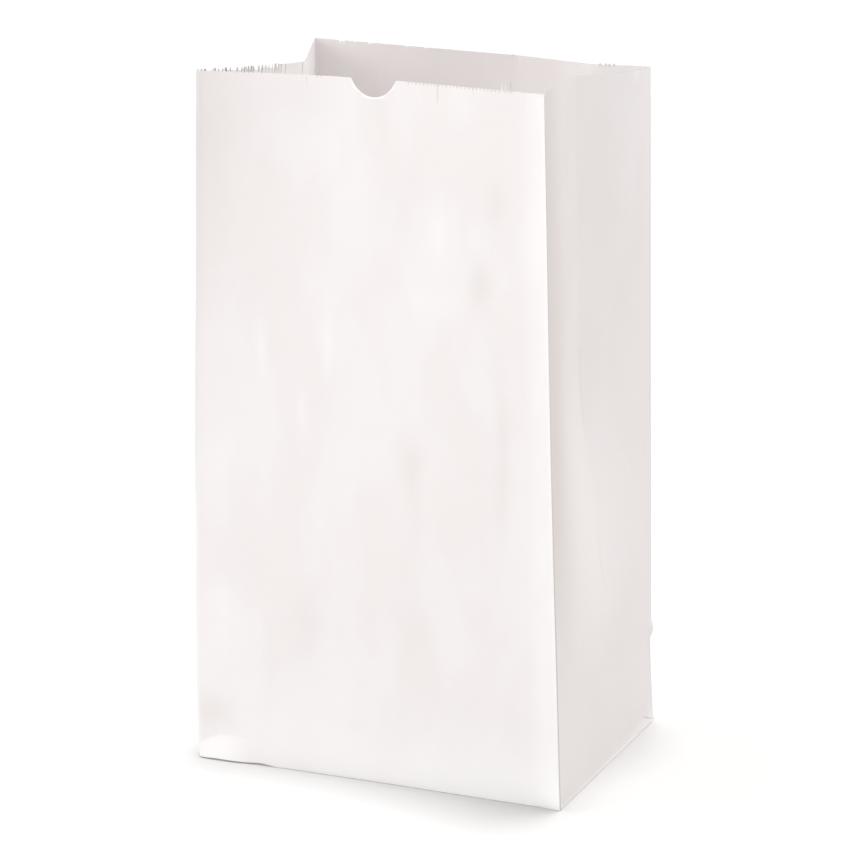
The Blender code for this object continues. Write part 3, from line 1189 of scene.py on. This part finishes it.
def side_tuck(form, size, side):
    """A triangle with its base along a side fold and its point towards the middle."""
    reach = size.depth / 2 - FLAP_START
    fold = size.width / 2 - FLAP_START
    tip = side * (fold - reach)
    name = "left_tuck" if side < 0 else "right_tuck"
    low, high = sorted((side * fold, tip))
    rows = even(2 * reach / size.cell)
    piece = grid_piece(name, TUCK_COLUMNS, rows, (low, -reach), (high, reach))
    for leg in (1, -1):
        cut_leg((tip, 0), (-side, leg))
    lay_under(piece, form, TUCK_LEVEL)
    return piece


def bottom_flap(form, size, side, level):
    """A flap folded in from the front or the back fold: slanting legs and a toothed free edge."""
    name = "front_flap" if side < 0 else "back_flap"
    fold = side * (size.depth / 2 - FLAP_START)
    free = -side * size.flap_lap / 2
    half = size.width / 2 - FLAP_START
    columns = even(2 * half / size.cell) * 2
    low, high = sorted((fold, free))
    piece = grid_piece(name, columns, even((high - low) / size.cell), (-half, low), (half, high))
    for leg in (-1, 1):
        cut_leg((leg * half, fold), (leg, -side))
    lay_under(piece, form, level, lambda points: zigzag(points, size, free))
    return piece


class PAPERBAG_OT_side_tucks(bpy.types.Operator):
    """Builds the two triangles that the gussets fold into under the bottom."""

    bl_idname = "paperbag.side_tucks"
    bl_label = "Side Tucks"

    def execute(self, context):
        size = context.scene.paper_bag_size
        for side in (-1, 1):
            finish_piece(side_tuck(Form(size), size, side), context.scene, LAYER_SMOOTH_ANGLE)
        return {"FINISHED"}


class PAPERBAG_OT_bottom_flaps(bpy.types.Operator):
    """Builds the front and the back flap, which overlap across the middle of the bottom."""

    bl_idname = "paperbag.bottom_flaps"
    bl_label = "Bottom Flaps"

    def execute(self, context):
        size = context.scene.paper_bag_size
        for side, level in ((-1, FRONT_FLAP_LEVEL), (1, BACK_FLAP_LEVEL)):
            flap = bottom_flap(Form(size), size, side, level)
            finish_piece(flap, context.scene, LAYER_SMOOTH_ANGLE)
        return {"FINISHED"}


class PAPERBAG_OT_seam_lap(bpy.types.Operator):
    """Builds the lap of the long glued seam, on the outside of the back panel."""

    bl_idname = "paperbag.seam_lap"
    bl_label = "Seam Lap"

    def execute(self, context):
        size = context.scene.paper_bag_size
        low = (size.width - size.seam_place - size.seam_lap, SEAM_ENDS[0])
        high = (size.width - size.seam_place, size.height - SEAM_ENDS[1])
        piece = grid_piece("seam_lap", SEAM_COLUMNS, round(size.height / size.row), low, high)
        bpy.ops.object.mode_set(mode="OBJECT")
        across, up, _ = coordinates(piece.data).T
        share = (across - low[0]) / size.seam_lap
        lifted = FLAP_SHEET - SEAM_SUNK + (SEAM_PROUD + SEAM_SUNK) * smooth(1 - share)
        set_coordinates(piece.data, Form(size).wall("back", across / size.width, up, -lifted))
        apply_modifier(piece, "SOLIDIFY", thickness=FLAP_SHEET, offset=-1.0)
        finish_piece(piece, context.scene, LAYER_SMOOTH_ANGLE)
        return {"FINISHED"}


# Floor, light and camera

CAMERA_PLACE = (0.57927, -1.43043, 0.56020)
CAMERA_TURN = math.radians(22.18)
CAMERA_TILT = math.radians(13.82)
CAMERA_ROLL = math.radians(0.203)
CAMERA_FAR = 60.0

OVERHEAD_FROM = (0.008, 0.032, 1.0)
SIDE_FROM = (-0.88, -0.33, 0.42)
SIDE_ANGLE = math.radians(35)
LAMP_SIZE = 36 * MM
LAMP_PLACE = (70 * MM, 36 * MM, 235 * MM)
LAMP_FROM = (1.0, 0.3, -0.75)
FLOOR_COLOUR = (0.56, 0.553, 0.549, 1.0)
FLOOR_SIDES = 96


def stage_material():
    material = bpy.data.materials.new("white_floor")
    shader = Nodes(material).shader
    shader.inputs["Base Color"].default_value = FLOOR_COLOUR
    shader.inputs["Roughness"].default_value = 1.0
    shader.inputs["Specular IOR Level"].default_value = 0.0
    return material


def add_light(name, kind, power, source):
    """A light that shines from a direction."""
    light = bpy.data.objects.new(name, bpy.data.lights.new(name, kind))
    light.data.energy = power
    light.rotation_euler = Vector(source).to_track_quat("Z", "Y").to_euler()
    bpy.context.scene.collection.objects.link(light)
    return light


def add_lights(stage):
    add_light("overhead_light", "SUN", stage.overhead, OVERHEAD_FROM).data.angle = stage.overhead_angle
    add_light("side_light", "SUN", stage.side, SIDE_FROM).data.angle = SIDE_ANGLE
    # A small unseen lamp inside the bag, for the light that real paper lets through
    lamp = add_light("inner_lamp", "AREA", stage.inner, LAMP_FROM)
    lamp.data.shape = "DISK"
    lamp.data.size = LAMP_SIZE
    lamp.location = LAMP_PLACE
    lamp.visible_camera = False


def add_surroundings(scene, strength):
    world = bpy.data.worlds.new("white_surroundings")
    world.use_nodes = True
    background = world.node_tree.nodes["Background"]
    background.inputs["Color"].default_value = (1, 1, 1, 1)
    background.inputs["Strength"].default_value = strength
    scene.world = world


def add_camera(scene, lens):
    camera = bpy.data.objects.new("camera", bpy.data.cameras.new("camera"))
    camera.data.lens = lens
    camera.data.clip_end = CAMERA_FAR
    upright = Matrix.Rotation(CAMERA_TURN, 4, "Z") @ Matrix.Rotation(math.pi / 2 - CAMERA_TILT, 4, "X")
    roll = Matrix.Rotation(CAMERA_ROLL, 4, "Z")
    camera.matrix_world = Matrix.Translation(CAMERA_PLACE) @ upright @ roll
    scene.collection.objects.link(camera)
    scene.camera = camera


class PAPERBAG_OT_stage(bpy.types.Operator):
    """Builds the floor, the lights and the camera."""

    bl_idname = "paperbag.stage"
    bl_label = "Stage"

    def execute(self, context):
        stage = context.scene.paper_bag_stage
        deselect_all()
        bpy.ops.mesh.primitive_circle_add(
            vertices=FLOOR_SIDES, radius=stage.floor_radius, fill_type="NGON", location=(0, 0, 0)
        )
        floor = context.object
        floor.name = "floor"
        floor.data.materials.append(stage_material())
        add_surroundings(context.scene, stage.sky)
        add_lights(stage)
        add_camera(context.scene, stage.lens)
        context.scene.view_settings.view_transform = "Standard"
        return {"FINISHED"}


# The add-on


class PAPERBAG_PT_sidebar(bpy.types.Panel):
    """Lists the settings of the bag and what builds it."""

    bl_idname = "PAPERBAG_PT_sidebar"
    bl_label = "Paper Grocery Bag"
    bl_space_type = "VIEW_3D"
    bl_region_type = "UI"
    bl_category = "Paper Bag"

    def draw(self, context):
        scene = context.scene
        for group in (scene.paper_bag_size, scene.paper_bag_finish, scene.paper_bag_stage):
            column = self.layout.column()
            for name in group.__annotations__:
                column.prop(group, name)
        for operator in OPERATORS:
            self.layout.operator(operator.bl_idname)


GROUPS = (
    ("paper_bag_size", PaperBagSize),
    ("paper_bag_finish", PaperBagFinish),
    ("paper_bag_stage", PaperBagStage),
)
OPERATORS = (
    PAPERBAG_OT_stage,
    PAPERBAG_OT_folded_sheet,
    PAPERBAG_OT_side_tucks,
    PAPERBAG_OT_bottom_flaps,
    PAPERBAG_OT_seam_lap,
)


def register():
    for name, group in GROUPS:
        bpy.utils.register_class(group)
        setattr(bpy.types.Scene, name, bpy.props.PointerProperty(type=group))
    for kind in (*OPERATORS, PAPERBAG_PT_sidebar):
        bpy.utils.register_class(kind)


def unregister():
    for kind in (PAPERBAG_PT_sidebar, *reversed(OPERATORS)):
        bpy.utils.unregister_class(kind)
    for name, group in reversed(GROUPS):
        delattr(bpy.types.Scene, name)
        bpy.utils.unregister_class(group)


def write_sizes():
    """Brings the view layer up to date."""
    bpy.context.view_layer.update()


def main():
    register()
    bpy.ops.paperbag.stage()
    bpy.ops.paperbag.folded_sheet()
    bpy.ops.paperbag.side_tucks()
    bpy.ops.paperbag.bottom_flaps()
    bpy.ops.paperbag.seam_lap()
    write_sizes()


if __name__ == "__main__":
    main()
